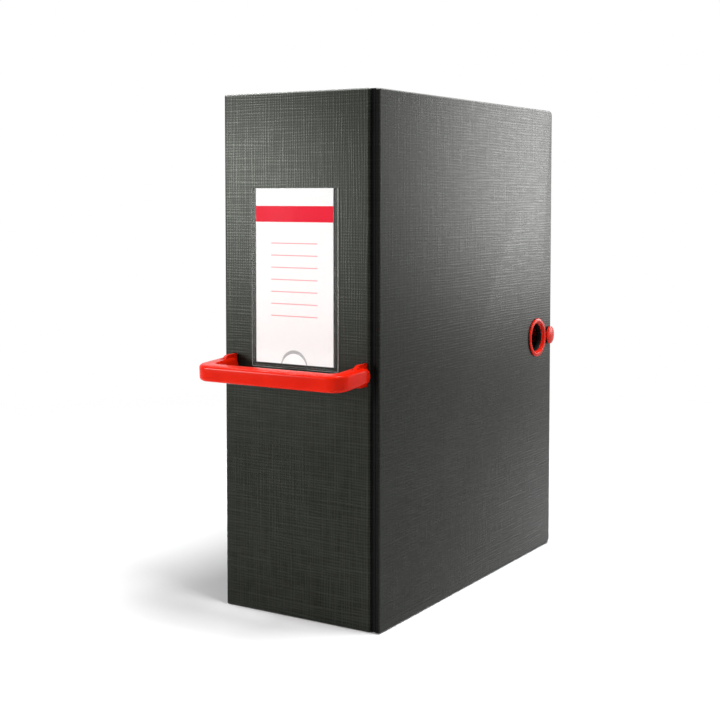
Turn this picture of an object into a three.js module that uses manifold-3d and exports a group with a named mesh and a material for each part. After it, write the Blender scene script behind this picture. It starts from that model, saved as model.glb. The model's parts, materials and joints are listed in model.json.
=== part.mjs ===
// Archive storage box that stands on its bottom edge like a book: a covered board case with a hinged lid,
// a label pocket and a folding handle on the spine, and a finger ring and a snap on the lid.
// Millimetres, +Z up. The origin is the middle of the footprint, on the surface the box stands on.
// The spine faces -Y, the lid faces +X, and the fore edge faces +Y.
import * as THREE from 'three';
import { mergeVertices } from 'three/addons/utils/BufferGeometryUtils.js';
import Module from 'manifold-3d';

const wasm = await Module();
wasm.setup();

// Driving sizes of the case
const boxHeight = 355;
const boxDepth = 272;
const spineWidth = 125;
const coverBoard = 3;
const trayWall = 2.5;
const foreEdgeReveal = 2.25;
const edgeRound = 0.5;
const boardCorner = 0.9;
const foldRadius = 1.6;
const spineEndRadius = 2;
const trayCorner = 1.2;
const fit = 0.3;

// Lid and its hinge groove along the spine
const lidBoard = 3;
const lidEdgeRound = 0.9;
const lidHingeCorner = 1.3;
const lidCorner = 4;
const lidEndGap = 0.4;
const grooveWidth = 4;
const stripThickness = 1;
const stripSetback = 0.8;
const lidSwingGap = 0.45;

// Handle, seen from above as a U, with a forked end on each arm
const pivotHeight = 169.5;
const pivotStandOff = 7.4;
const handleBackInset = 3.1;
const handleLidInset = 4.7;
const handleReach = 39.5;
const handleThickness = 11;
const barDepth = 10.5;
const armWidth = 11;
const handleOuterCorner = 11;
const handleInnerCorner = 4;
const handleEdgeRound = 2;
const handleDroop = THREE.MathUtils.degToRad(3.5);

// Ears that carry the handle
const earInset = 5.75;
const earThickness = 2.8;
const earRadius = 7.6;
const pinRadius = 2.1;
const pinLength = 2.4;
const flangeOuterLap = 2.7;
const flangeInnerLap = 12;
const flangeHeight = 30;
const flangeThickness = 2;
const flangeCorner = 3;

// Finger ring through the lid
const ringHeight = 172.4;
const ringFromForeEdge = 27;
const ringOuterRadius = 15.3;
const ringMouthRadius = 12.4;
const ringBoreRadius = 10.5;
const ringProud = 1.3;
const ringLip = 0.5;
const ringFunnelDepth = 2.6;
const sleeveWall = 1.2;
const backingThickness = 1.5;
const backingRadius = 14.8;

// Snap fastener beside the ring, over the rim of the fore edge wall
const snapHeadRadius = 7.2;
const snapHeadGap = 0.6;
const snapHeadRim = 1.1;
const snapDome = 0.7;
const snapPostRadius = 2.2;
const studFlangeRadius = 4;
const studFlangeThickness = 1.5;
const studTipRadius = 1.9;
const studNeckRadius = 1.5;
const studReach = 6.2;
const socketLength = 8;
const socketDepth = 6.4;
const socketWebWidth = 10;
const socketGrip = 1.5;
const socketCorner = 0.8;
const socketEdgeRound = 0.3;

// Label pocket and card
const cardWidth = 62.6;
const cardHeight = 118;
const cardThickness = 0.3;
const cardBottom = 172.8;
const filmThickness = 0.25;
const pocketSlack = 0.1;
const pocketSideSeam = 3.7;
const pocketBottomSeam = 3;
const pocketTopMargin = 0.3;
const pocketCorner = 1;
const thumbNotchRadius = 10.2;

// Facets along curves
const curveSteps = 6;
const edgeSteps = 2;
const domeSteps = 3;
const roundSteps = 24;
const pinSteps = 16;

// How far a cutting shape sticks out of the piece it cuts
const overrun = 1;

// Places that follow from the sizes
const spineFace = -boxDepth / 2;
const foreEdge = boxDepth / 2;
const lidFace = spineWidth / 2;
const backFace = -spineWidth / 2;
const lidInside = lidFace - lidBoard;
const spineBoardEnd = lidInside - grooveWidth;
const tray = {
  back: backFace + coverBoard + fit,
  rim: lidInside - fit,
  spine: spineFace + coverBoard + fit,
  fore: foreEdge - foreEdgeReveal,
};
const trayInside = {
  back: tray.back + trayWall,
  spine: tray.spine + trayWall,
  fore: tray.fore - trayWall,
  bottom: trayWall,
  top: boxHeight - trayWall,
};
const pivotY = spineFace - pivotStandOff;
const handleSides = { back: backFace + handleBackInset, lid: lidFace - handleLidInset };
const handleWidth = handleSides.lid - handleSides.back;
const handleCentreX = (handleSides.lid + handleSides.back) / 2;
const ringY = foreEdge - ringFromForeEdge;
const cardCentreX = (backFace + spineBoardEnd) / 2;
const foreWallMiddle = tray.fore - trayWall / 2;
const earXs = { left: handleSides.back + earInset, right: handleSides.lid - earInset };

// Solid with shared corners, ready for joining and cutting
function solid(geometry) {
  const bare = geometry.index ? geometry.clone() : geometry;
  bare.deleteAttribute('normal');
  bare.deleteAttribute('uv');
  const merged = mergeVertices(bare, 1e-4);
  const corners = merged.index.array;
  const triangles = [];
  for (let i = 0; i < corners.length; i += 3) {
    const [a, b, c] = corners.slice(i, i + 3);
    if (a !== b && b !== c && c !== a) {
      triangles.push(a, b, c);
    }
  }
  return new wasm.Manifold(new wasm.Mesh({
    numProp: 3,
    vertProperties: new Float32Array(merged.attributes.position.array),
    triVerts: new Uint32Array(triangles),
  }));
}

// Geometry of a joined or cut solid
function geometryOf(shape) {
  const mesh = shape.getMesh();
  const geometry = new THREE.BufferGeometry();
  geometry.setAttribute('position', new THREE.BufferAttribute(mesh.vertProperties, 3));
  geometry.setIndex(new THREE.BufferAttribute(mesh.triVerts, 1));
  return geometry;
}

// Turns an extrusion so that its outline lies in Y and Z and its depth runs along X from a start plane
function alongX(geometry, start) {
  const turn = new THREE.Matrix4().makeBasis(
    new THREE.Vector3(0, 1, 0), new THREE.Vector3(0, 0, 1), new THREE.Vector3(1, 0, 0));
  return geometry.applyMatrix4(turn).translate(start, 0, 0);
}

// Turns an extrusion so that its outline lies in X and Z and its depth runs towards -Y, out of the spine
function outOfSpine(geometry, start) {
  const turn = new THREE.Matrix4().makeBasis(
    new THREE.Vector3(1, 0, 0), new THREE.Vector3(0, 0, 1), new THREE.Vector3(0, -1, 0));
  return geometry.applyMatrix4(turn).translate(0, start, 0);
}

// Closed outline of straight runs whose corners are rounded, each point being [u, v, radius]
function roundedOutline(points) {
  const shape = new THREE.Shape();
  points.forEach(([u, v, radius], i) => {
    const corner = new THREE.Vector2(u, v);
    const [pu, pv] = points[(i + points.length - 1) % points.length];
    const [nu, nv] = points[(i + 1) % points.length];
    const back = new THREE.Vector2(pu, pv).sub(corner).setLength(radius).add(corner);
    const ahead = new THREE.Vector2(nu, nv).sub(corner).setLength(radius).add(corner);
    if (i === 0) {
      shape.moveTo(back.x, back.y);
    } else {
      shape.lineTo(back.x, back.y);
    }
    if (radius > 0) {
      shape.quadraticCurveTo(u, v, ahead.x, ahead.y);
    }
  });
  shape.closePath();
  return shape;
}

// Rectangle with one corner radius
function rectangle(u0, v0, u1, v1, radius = 0) {
  return roundedOutline([[u0, v0, radius], [u1, v0, radius], [u1, v1, radius], [u0, v1, radius]]);
}

// Extrusion whose long edges are rounded inside its outline, with its full depth as given
function extrude(shape, depth, round = 0, steps = edgeSteps) {
  return new THREE.ExtrudeGeometry(shape, {
    depth: depth - 2 * round,
    curveSegments: curveSteps,
    bevelEnabled: round > 0,
    bevelThickness: round,
    bevelSize: round,
    bevelOffset: -round,
    bevelSegments: steps,
  }).translate(0, 0, round);
}

// Round bar along X
function barAlongX(radius, x0, x1, y, z, steps = roundSteps) {
  return new THREE.CylinderGeometry(radius, radius, x1 - x0, steps)
    .rotateZ(-Math.PI / 2)
    .translate((x0 + x1) / 2, y, z);
}

// Turned piece around an axis along X, its profile given as [radius, distance along X]
function turnedAlongX(profile, x, y, z, steps = roundSteps) {
  const points = profile.map(([radius, along]) => new THREE.Vector2(radius, along));
  return new THREE.LatheGeometry(points, steps)
    .rotateZ(-Math.PI / 2)
    .translate(x, y, z);
}

// Points of a quarter round from one direction to another, as [radius, distance along X]
function quarter(centreR, centreX, radius, from, to, steps = edgeSteps) {
  return Array.from({ length: steps + 1 }, (_, i) => {
    const angle = from + (to - from) * i / steps;
    return [centreR + radius * Math.cos(angle), centreX + radius * Math.sin(angle)];
  });
}

// Slot that an ear passes through
function earSlot(x) {
  const outline = rectangle(pivotHeight - earRadius - fit, x - earThickness / 2 - fit,
    pivotHeight + earRadius + fit, x + earThickness / 2 + fit);
  const depth = trayInside.spine - spineFace + 2 * overrun;
  const turn = new THREE.Matrix4().makeBasis(
    new THREE.Vector3(0, 0, 1), new THREE.Vector3(1, 0, 0), new THREE.Vector3(0, 1, 0));
  return solid(extrude(outline, depth).applyMatrix4(turn).translate(0, spineFace - overrun, 0));
}

// Open tray of five walls that the papers stand in
function makeTray() {
  const outside = solid(alongX(extrude(
    rectangle(tray.spine, 0, tray.fore, boxHeight, trayCorner), tray.rim - tray.back), tray.back));
  const inside = solid(alongX(extrude(
    rectangle(trayInside.spine, trayInside.bottom, trayInside.fore, trayInside.top, trayCorner / 2),
    tray.rim - tray.back), trayInside.back));
  const notchHalf = socketWebWidth / 2 + fit;
  const notch = solid(alongX(extrude(
    rectangle(trayInside.fore - overrun, ringHeight - notchHalf, tray.fore + overrun, ringHeight + notchHalf),
    tray.rim), socketBack() - fit));
  return geometryOf(outside
    .subtract(inside)
    .subtract(notch)
    .subtract(earSlot(earXs.left))
    .subtract(earSlot(earXs.right)));
}

// Wrapped case that folds from the spine board round to the back board
function makeCover() {
  const plan = roundedOutline([
    [spineBoardEnd, spineFace, spineEndRadius],
    [spineBoardEnd, spineFace + coverBoard, boardCorner],
    [backFace + coverBoard, spineFace + coverBoard, boardCorner],
    [backFace + coverBoard, foreEdge, boardCorner],
    [backFace, foreEdge, boardCorner],
    [backFace, spineFace, foldRadius],
  ]);
  return geometryOf(solid(extrude(plan, boxHeight, edgeRound))
    .subtract(earSlot(earXs.left))
    .subtract(earSlot(earXs.right)));
}

// Covering in the hinge groove, dished between the spine board and the lid
function makeHingeStrip() {
  const x0 = spineBoardEnd + fit;
  const x1 = lidInside - lidSwingGap;
  const face = spineFace + stripSetback;
  const dip = tray.spine - fit - stripThickness - face;
  const middle = (x0 + x1) / 2;
  const plan = new THREE.Shape();
  plan.moveTo(x0, face);
  plan.quadraticCurveTo(middle, face + 2 * dip, x1, face);
  plan.lineTo(x1, face + stripThickness);
  plan.quadraticCurveTo(middle, face + stripThickness + 2 * dip, x0, face + stripThickness);
  plan.closePath();
  const height = boxHeight - 2 * lidEndGap;
  return extrude(plan, height).translate(0, 0, lidEndGap);
}

// Lid board with its outer corners rounded, a hole for the ring and a hole for the snap
function makeLidBoard() {
  const outline = roundedOutline([
    [spineFace, lidEndGap, lidHingeCorner],
    [foreEdge, lidEndGap, lidCorner],
    [foreEdge, boxHeight - lidEndGap, lidCorner],
    [spineFace, boxHeight - lidEndGap, lidHingeCorner],
  ]);
  const ringHole = solid(barAlongX(ringBoreRadius + sleeveWall + fit,
    lidInside - overrun, lidFace + overrun, ringY, ringHeight));
  const snapHole = solid(barAlongX(snapPostRadius + fit,
    lidInside - overrun, lidFace + overrun, foreWallMiddle, ringHeight, pinSteps));
  return geometryOf(solid(alongX(extrude(outline, lidBoard, lidEdgeRound), lidInside))
    .subtract(ringHole)
    .subtract(snapHole));
}

// Finger ring: a rounded flange, a funnel and a sleeve through the lid
function makeFingerRing() {
  const sleeveRadius = ringBoreRadius + sleeveWall;
  const sleeveEnd = -lidBoard - fit - backingThickness;
  const crown = ringProud - fit;
  return turnedAlongX([
    [sleeveRadius, sleeveEnd],
    [sleeveRadius, fit],
    ...quarter(ringOuterRadius - crown, fit, crown, 0, Math.PI / 2),
    ...quarter(ringMouthRadius + ringLip, ringProud - ringLip, ringLip, Math.PI / 2, Math.PI, 1),
    [ringBoreRadius, -ringFunnelDepth],
    [ringBoreRadius, sleeveEnd],
    [sleeveRadius, sleeveEnd],
  ], lidFace, ringY, ringHeight);
}

// Washer that is pressed on the sleeve behind the lid
function makeRingBacking() {
  const bore = ringBoreRadius + sleeveWall + fit;
  const outer = backingRadius;
  const front = -lidBoard - fit;
  const back = front - backingThickness;
  const round = backingThickness / 3;
  return turnedAlongX([
    [bore, back],
    [outer - round, back],
    [outer, back + round],
    [outer, front],
    [bore, front],
    [bore, back],
  ], lidFace, ringY, ringHeight);
}

// Cap of the snap: a domed head outside the lid, with its shank through the board
function makeSnapCap() {
  const shoulder = snapHeadGap + snapHeadRim;
  const shankEnd = -lidBoard - fit - studFlangeThickness / 2;
  const collar = (snapHeadRadius + snapPostRadius) / 2;
  return turnedAlongX([
    [0, shankEnd],
    [snapPostRadius, shankEnd],
    [snapPostRadius, fit],
    [collar, fit],
    [collar, snapHeadGap],
    [snapHeadRadius, snapHeadGap],
    ...quarter(snapHeadRadius - snapHeadRim / 2, shoulder - snapHeadRim / 2, snapHeadRim / 2, 0, Math.PI / 3),
    ...[2, 1, 0].map((step) => [
      snapHeadRadius * step / domeSteps,
      shoulder + snapDome * (1 - (step / domeSteps) ** 2),
    ]),
  ], lidFace, foreWallMiddle, ringHeight);
}

// Stud of the snap: a flange on the inside of the lid that carries a ball tip
function makeSnapStud() {
  const flangeFront = lidInside - fit;
  const flangeBack = flangeFront - studFlangeThickness;
  const tipCentre = flangeFront - studReach + studTipRadius;
  const neckAngle = Math.asin(studNeckRadius / studTipRadius);
  const tip = quarter(0, 0, studTipRadius, -Math.PI / 2, Math.PI / 2 - neckAngle, curveSteps)
    .map(([radius, along]) => [radius, tipCentre + along]);
  tip[0][0] = 0;
  const body = solid(turnedAlongX([
    ...tip,
    [studNeckRadius, flangeBack],
    [studFlangeRadius, flangeBack],
    [studFlangeRadius, flangeFront],
    [0, flangeFront],
  ], 0, foreWallMiddle, ringHeight, pinSteps));
  const boreEnd = flangeFront - studFlangeThickness / 2 - fit;
  const shankBore = solid(barAlongX(snapPostRadius + fit,
    boreEnd, flangeFront + overrun, foreWallMiddle, ringHeight, pinSteps));
  return geometryOf(body.subtract(shankBore));
}

// Inner end of the snap socket, along X
function socketBack() {
  return lidInside - 2 * fit - studFlangeThickness - socketLength;
}

// Socket of the snap: a clip that grips the notched rim of the fore edge wall, bored for the ball tip
function makeSnapSocket() {
  const half = socketWebWidth / 2;
  const outer = half + socketGrip;
  const y0 = foreWallMiddle - socketDepth / 2;
  const y1 = foreWallMiddle + socketDepth / 2;
  const body = solid(alongX(extrude(
    rectangle(y0, ringHeight - outer, y1, ringHeight + outer, socketCorner),
    socketLength, socketEdgeRound), socketBack()));
  const grooves = [-1, 1].map((side) => {
    const inner = ringHeight + side * half;
    const beyond = ringHeight + side * (outer + overrun);
    return solid(alongX(extrude(
      rectangle(trayInside.fore - fit, Math.min(inner, beyond), tray.fore + fit, Math.max(inner, beyond)),
      socketLength + 2 * overrun), socketBack() - overrun));
  });
  const bore = solid(barAlongX(studTipRadius + fit,
    socketBack() - overrun, socketBack() + socketLength + overrun, foreWallMiddle, ringHeight, pinSteps));
  return geometryOf(body
    .subtract(grooves[0])
    .subtract(grooves[1])
    .subtract(bore));
}

// Handle in its own frame: pivot axis along X at the origin, bar towards -Y
function makeHandle() {
  const half = handleWidth / 2;
  const bar = -(handleReach - pivotStandOff);
  const end = handleThickness / 2;
  const innerHalf = half - armWidth;
  const plan = roundedOutline([
    [-half, end, 0],
    [-half, bar, handleOuterCorner],
    [half, bar, handleOuterCorner],
    [half, end, 0],
    [innerHalf, end, 0],
    [innerHalf, bar + barDepth, handleInnerCorner],
    [-innerHalf, bar + barDepth, handleInnerCorner],
    [-innerHalf, end, 0],
  ]);
  const body = solid(extrude(plan, handleThickness, handleEdgeRound, 2 * edgeSteps)
    .translate(0, 0, -handleThickness / 2));
  const side = new THREE.Shape();
  side.moveTo(bar, -end);
  side.lineTo(0, -end);
  side.absarc(0, 0, end, -Math.PI / 2, Math.PI / 2, false);
  side.lineTo(bar, end);
  side.closePath();
  const profile = solid(alongX(extrude(side, handleWidth + 2 * overrun), -half - overrun));
  let handle = body.intersect(profile);
  for (const x of [earXs.left - handleCentreX, earXs.right - handleCentreX]) {
    const slotHalf = earThickness / 2 + fit;
    const slotRadius = earRadius + fit;
    const throat = rectangle(-slotRadius, -slotRadius, slotRadius + overrun, slotRadius);
    handle = handle
      .subtract(solid(alongX(extrude(throat, 2 * slotHalf), x - slotHalf)))
      .subtract(solid(barAlongX(pinRadius + fit, x - slotHalf - pinLength, x + slotHalf + pinLength,
        0, 0, pinSteps)));
  }
  return geometryOf(handle);
}

// Anchor of the handle: an ear through the spine, a flange inside and a pin on each side of the ear
function makeHandleAnchor(x, inwards) {
  const flangeFace = trayInside.spine + fit;
  const profile = new THREE.Shape();
  profile.moveTo(flangeFace + flangeThickness / 2, pivotHeight - earRadius);
  profile.lineTo(flangeFace + flangeThickness / 2, pivotHeight + earRadius);
  profile.lineTo(pivotY, pivotHeight + earRadius);
  profile.absarc(pivotY, pivotHeight, earRadius, Math.PI / 2, Math.PI * 3 / 2, false);
  profile.closePath();
  const ear = solid(alongX(extrude(profile, earThickness), x - earThickness / 2));
  const laps = [x - inwards * flangeOuterLap, x + inwards * flangeInnerLap];
  const outline = rectangle(Math.min(...laps), pivotHeight - flangeHeight / 2,
    Math.max(...laps), pivotHeight + flangeHeight / 2, Math.min(flangeCorner, flangeOuterLap));
  const flange = solid(outOfSpine(extrude(outline, flangeThickness), flangeFace + flangeThickness));
  const reach = earThickness / 2 + pinLength;
  const pin = solid(barAlongX(pinRadius, x - reach, x + reach, pivotY, pivotHeight, pinSteps));
  return geometryOf(ear.add(flange).add(pin));
}

// Label pocket of two clear films welded along the sides and the bottom, open at the top
function makeLabelPocket() {
  const x0 = cardCentreX - cardWidth / 2 - pocketSideSeam;
  const x1 = cardCentreX + cardWidth / 2 + pocketSideSeam;
  const z0 = cardBottom - pocketBottomSeam;
  const z1 = cardBottom + cardHeight + pocketTopMargin;
  const back = spineFace - fit;
  const depth = 2 * filmThickness + cardThickness + 2 * pocketSlack;
  const body = solid(outOfSpine(extrude(rectangle(x0, z0, x1, z1, pocketCorner), depth), back));
  const mouthHalf = cardWidth / 2 + fit;
  const mouth = solid(outOfSpine(extrude(
    rectangle(cardCentreX - mouthHalf, cardBottom - fit, cardCentreX + mouthHalf, z1 + overrun),
    depth - 2 * filmThickness), back - filmThickness));
  const notch = solid(new THREE.CylinderGeometry(thumbNotchRadius, thumbNotchRadius, 2 * overrun, roundSteps)
    .translate(cardCentreX, back - depth + filmThickness - overrun, z0));
  return geometryOf(body.subtract(mouth).subtract(notch));
}

// Card in the pocket
function makeLabelCard() {
  const back = spineFace - fit - filmThickness - pocketSlack;
  return outOfSpine(extrude(rectangle(cardCentreX - cardWidth / 2, cardBottom,
    cardCentreX + cardWidth / 2, cardBottom + cardHeight), cardThickness), back);
}

// Materials, by what the pieces are made of
const coveredBoard = { color: 0x2b2d2a, roughness: 0.62, metalness: 0 };
const linerBoard = { color: 0x232523, roughness: 0.7, metalness: 0 };
const redPlastic = { color: 0xd81f12, roughness: 0.35, metalness: 0 };
const clearFilm = { color: 0xe8ebea, roughness: 0.2, metalness: 0, transparent: true, opacity: 0.35 };
const whiteCard = { color: 0xf4f4f2, roughness: 0.8, metalness: 0 };

const box = new THREE.Group();

// Adds one named piece to a group
function addPiece(group, name, geometry, finish) {
  const mesh = new THREE.Mesh(geometry, new THREE.MeshStandardMaterial(finish));
  mesh.name = name;
  group.add(mesh);
  return mesh;
}

addPiece(box, 'tray', makeTray(), linerBoard);
addPiece(box, 'cover', makeCover(), coveredBoard);
addPiece(box, 'hinge_strip', makeHingeStrip(), coveredBoard);
addPiece(box, 'snap_socket', makeSnapSocket(), redPlastic);
addPiece(box, 'label_pocket', makeLabelPocket(), clearFilm);
addPiece(box, 'label_card', makeLabelCard(), whiteCard);
for (const [side, inwards] of [['left', 1], ['right', -1]]) {
  addPiece(box, `handle_anchor_${side}`, makeHandleAnchor(earXs[side], inwards), redPlastic);
}

const lid = new THREE.Group();
addPiece(lid, 'lid_board', makeLidBoard(), coveredBoard);
addPiece(lid, 'finger_ring', makeFingerRing(), redPlastic);
addPiece(lid, 'finger_ring_backing', makeRingBacking(), redPlastic);
addPiece(lid, 'snap_cap', makeSnapCap(), redPlastic);
addPiece(lid, 'snap_stud', makeSnapStud(), redPlastic);
box.add(lid);

const handle = addPiece(box, 'handle', makeHandle(), redPlastic);
handle.position.set(handleCentreX, pivotY, pivotHeight);
handle.rotation.x = handleDroop;

export default box;
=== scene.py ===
# %% [markdown]
# # An archive storage box, dressed for its portrait
#
# The box is a case of rigid board wrapped in black paper that is embossed like linen. It stands on its bottom
# edge as a book does. The spine carries a clear pocket with a title card and a red folding handle. The lid on
# the right carries a red finger ring and a red snap.
#
# A fixed frame gives the size, the place and the moving bodies. Every piece made here lies in the same
# space, in metres, with +Z up, the spine towards -Y and the lid towards +X. Lengths are written in
# millimetres and multiplied by MM, and two places that lie within NEAR of each other count as the same.

# %% Load the frame
import json
import math

import bmesh
import bpy
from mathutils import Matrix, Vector


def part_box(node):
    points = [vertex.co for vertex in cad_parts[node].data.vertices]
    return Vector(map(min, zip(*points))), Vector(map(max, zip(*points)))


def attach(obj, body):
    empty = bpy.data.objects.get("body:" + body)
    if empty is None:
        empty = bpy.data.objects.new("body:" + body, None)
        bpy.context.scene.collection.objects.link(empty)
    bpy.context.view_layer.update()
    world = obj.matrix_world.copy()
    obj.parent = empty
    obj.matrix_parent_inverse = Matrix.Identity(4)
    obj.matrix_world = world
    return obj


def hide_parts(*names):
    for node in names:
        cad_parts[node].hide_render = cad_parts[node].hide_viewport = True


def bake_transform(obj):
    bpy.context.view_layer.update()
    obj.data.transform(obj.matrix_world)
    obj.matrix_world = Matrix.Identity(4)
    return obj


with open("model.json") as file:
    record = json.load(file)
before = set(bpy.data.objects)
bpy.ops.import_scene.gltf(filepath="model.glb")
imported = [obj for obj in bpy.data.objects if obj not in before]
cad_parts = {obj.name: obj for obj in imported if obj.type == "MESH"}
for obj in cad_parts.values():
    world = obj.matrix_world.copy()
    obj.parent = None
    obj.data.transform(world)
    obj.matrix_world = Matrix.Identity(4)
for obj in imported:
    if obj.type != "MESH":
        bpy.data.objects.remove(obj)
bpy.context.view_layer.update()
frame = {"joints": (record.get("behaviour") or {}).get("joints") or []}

MM = 0.001
NEAR = 0.01

# %% [markdown]
# ## The camera
#
# The box was photographed with upright edges that stay upright. Tilting the camera would be simpler, but it
# would make those edges lean, so the camera looks nearly level and the lens is shifted down instead. The
# place and the angles were worked out from the corners of the box.

# %% Camera
LENS_MM = 65.6
SENSOR_MM = 36
CAMERA_PLACE = (0.4966, -0.8566, 0.2851)
CAMERA_TURN = 0.557
CAMERA_DIP = 0.053
LENS_SHIFT = -0.13

camera_data = bpy.data.cameras.new("camera")
camera_data.lens = LENS_MM
camera_data.sensor_width = SENSOR_MM
camera_data.shift_y = LENS_SHIFT
camera = bpy.data.objects.new("camera", camera_data)
camera.location = CAMERA_PLACE
camera.rotation_euler = (math.pi / 2 - CAMERA_DIP, 0, CAMERA_TURN)
bpy.context.collection.objects.link(camera)
bpy.context.scene.camera = camera
bpy.context.scene.view_settings.view_transform = "Standard"
print("camera stands", round(camera.location.length, 3), "m from the box")

# %% [markdown]
# ## Small helpers
#
# Modelling by operators always starts the same way: nothing is selected, one object is active, and edit mode
# opens on it. A few short helpers keep that out of the cells that follow. They start a piece, pick faces or
# edges of it by where they lie, and round, cut or turn it.


# %% Helpers that start a piece
def only(obj):
    """Makes one object the only selected and active one."""
    bpy.ops.object.select_all(action="DESELECT")
    obj.select_set(True)
    bpy.context.view_layer.objects.active = obj
    return obj


def block(name, low, high):
    """Starts a piece as a cube that fills the space between two corners, in millimetres."""
    low, high = Vector(low) * MM, Vector(high) * MM
    bpy.ops.object.select_all(action="DESELECT")
    bpy.ops.mesh.primitive_cube_add(size=1, location=(low + high) / 2)
    obj = bpy.context.object
    obj.name = name
    obj.scale = high - low
    bpy.ops.object.transform_apply(location=True, rotation=True, scale=True)
    return obj


# %% Helpers that pick faces and edges
def every_face(middle, normal):
    """Test that all faces pass."""
    return True


def pick_faces(obj, test):
    """Opens edit mode with the faces selected whose middle (in millimetres) and normal pass a test."""
    only(obj)
    bpy.ops.object.mode_set(mode="EDIT")
    bpy.ops.mesh.select_mode(type="FACE")
    bpy.ops.mesh.select_all(action="DESELECT")
    mesh = bmesh.from_edit_mesh(obj.data)
    for face in mesh.faces:
        face.select_set(test(face.calc_center_median() / MM, face.normal))
    bmesh.update_edit_mesh(obj.data)


def pick_edges(obj, test):
    """Opens edit mode with the edges selected whose two ends (in millimetres) pass a test."""
    only(obj)
    bpy.ops.object.mode_set(mode="EDIT")
    bpy.ops.mesh.select_mode(type="EDGE")
    bpy.ops.mesh.select_all(action="DESELECT")
    mesh = bmesh.from_edit_mesh(obj.data)
    for edge in mesh.edges:
        edge.select_set(test(edge.verts[0].co / MM, edge.verts[1].co / MM))
    bmesh.update_edit_mesh(obj.data)


def leave_edit():
    """Closes edit mode."""
    bpy.ops.object.mode_set(mode="OBJECT")


def upright_at(x, y):
    """Test for the upright edges at one place of the plan, in millimetres."""
    spot = Vector((x, y))
    return lambda a, b: all((end.xy - spot).length < NEAR for end in (a, b)) and abs(a.z - b.z) > 5


# %% Helpers that round and cut
def round_edges(obj, test, radius, steps=4):
    """Rounds the edges whose two ends pass a test."""
    pick_edges(obj, test)
    bpy.ops.mesh.bevel(offset=radius * MM, segments=steps, affect="EDGES", clamp_overlap=True)
    leave_edit()


def apply_modifier(obj, kind, **settings):
    """Adds one modifier, sets it up and applies it."""
    only(obj)
    modifier = obj.modifiers.new(kind.lower(), kind)
    for key, value in settings.items():
        setattr(modifier, key, value)
    bpy.ops.object.modifier_apply(modifier=modifier.name)


def soften(obj, radius, steps=2, angle=40, clamp=True):
    """Rounds every edge that is sharper than an angle."""
    apply_modifier(obj, "BEVEL", width=radius * MM, segments=steps, limit_method="ANGLE",
                   angle_limit=math.radians(angle), use_clamp_overlap=clamp)


def cut(obj, *cutters):
    """Cuts other shapes out of a piece and removes them."""
    for cutter in cutters:
        apply_modifier(obj, "BOOLEAN", operation="DIFFERENCE", solver="EXACT", object=cutter)
        bpy.data.objects.remove(cutter)


# %% Helpers for round shapes
def rod(name, radius, start, end, steps=48):
    """Starts a round bar between two points, in millimetres."""
    start, end = Vector(start) * MM, Vector(end) * MM
    bpy.ops.object.select_all(action="DESELECT")
    bpy.ops.mesh.primitive_cylinder_add(vertices=steps, radius=radius * MM, depth=(end - start).length,
                                        location=(start + end) / 2)
    obj = bpy.context.object
    obj.name = name
    obj.rotation_mode = "QUATERNION"
    obj.rotation_quaternion = (end - start).to_track_quat("Z", "Y")
    bpy.ops.object.transform_apply(location=True, rotation=True, scale=True)
    return obj


def turned(name, profile, centre, steps=96):
    """Spins a profile round an axis along X. Each point is (radius, distance along X), in millimetres."""
    places = [Vector(centre) * MM + Vector((along, 0, radius)) * MM for radius, along in profile]
    bpy.ops.object.select_all(action="DESELECT")
    bpy.ops.mesh.primitive_plane_add(size=MM, location=places[0])
    obj = bpy.context.object
    obj.name = name
    bpy.ops.object.transform_apply(location=True, rotation=True, scale=True)
    bpy.ops.object.mode_set(mode="EDIT")
    bpy.ops.mesh.select_mode(type="VERT")
    bpy.ops.mesh.select_all(action="SELECT")
    bpy.ops.mesh.merge(type="CENTER")
    for here, there in zip(places, places[1:]):
        bpy.ops.mesh.extrude_region_move(TRANSFORM_OT_translate={"value": there - here})
    bpy.ops.mesh.select_all(action="SELECT")
    bpy.ops.mesh.spin(steps=steps, angle=math.tau, center=Vector(centre) * MM, axis=(1, 0, 0))
    bpy.ops.mesh.select_all(action="SELECT")
    bpy.ops.mesh.remove_doubles(threshold=0.002 * MM)
    bpy.ops.mesh.normals_make_consistent(inside=False)
    leave_edit()
    return obj


def arc(centre, radius, start, end, steps=6):
    """Points of an arc, as (radius, distance along X), with its angles in degrees."""
    for i in range(steps + 1):
        angle = math.radians(start + (end - start) * i / steps)
        yield centre[0] + radius * math.cos(angle), centre[1] + radius * math.sin(angle)


# %% Helpers that finish a piece
def face_material(obj, test, extra):
    """Gives another material to the faces whose middle (in millimetres) and normal pass a test."""
    obj.data.materials.append(extra)
    index = len(obj.data.materials) - 1
    for face in obj.data.polygons:
        if test(face.center / MM, face.normal):
            face.material_index = index


def on_fold(middle, normal):
    """Test for the rounded folds along the top: faces that look upwards and lean to a side as well."""
    least_rise, least_lean = 0.12, 1.15
    return normal.z > least_rise and sum(abs(part) for part in normal) > least_lean


def finish_piece(obj, body, slot, material, *nodes, smooth=35):
    """Smooths a piece, gives it its material, ties it to its body and hides the nodes that it stands for."""
    only(obj)
    bpy.ops.object.shade_smooth_by_angle(angle=math.radians(smooth))
    obj.data.materials.clear()
    obj.data.materials.append(material)
    if body:
        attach(obj, body)
    if nodes:
        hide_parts(*nodes)
    print(obj.name, "faces", len(obj.data.polygons))
    return obj


# %% [markdown]
# ## Where things are
#
# The frame knows where each solid lies, so the sizes of the looks come from it. Corners are turned into
# millimetres once, because every thickness of a box like this is thought of in millimetres.


# %% Places from the frame
def corners(node):
    """Lowest and highest corner of a solid, in millimetres."""
    low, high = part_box(node)
    return low / MM, high / MM


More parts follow.
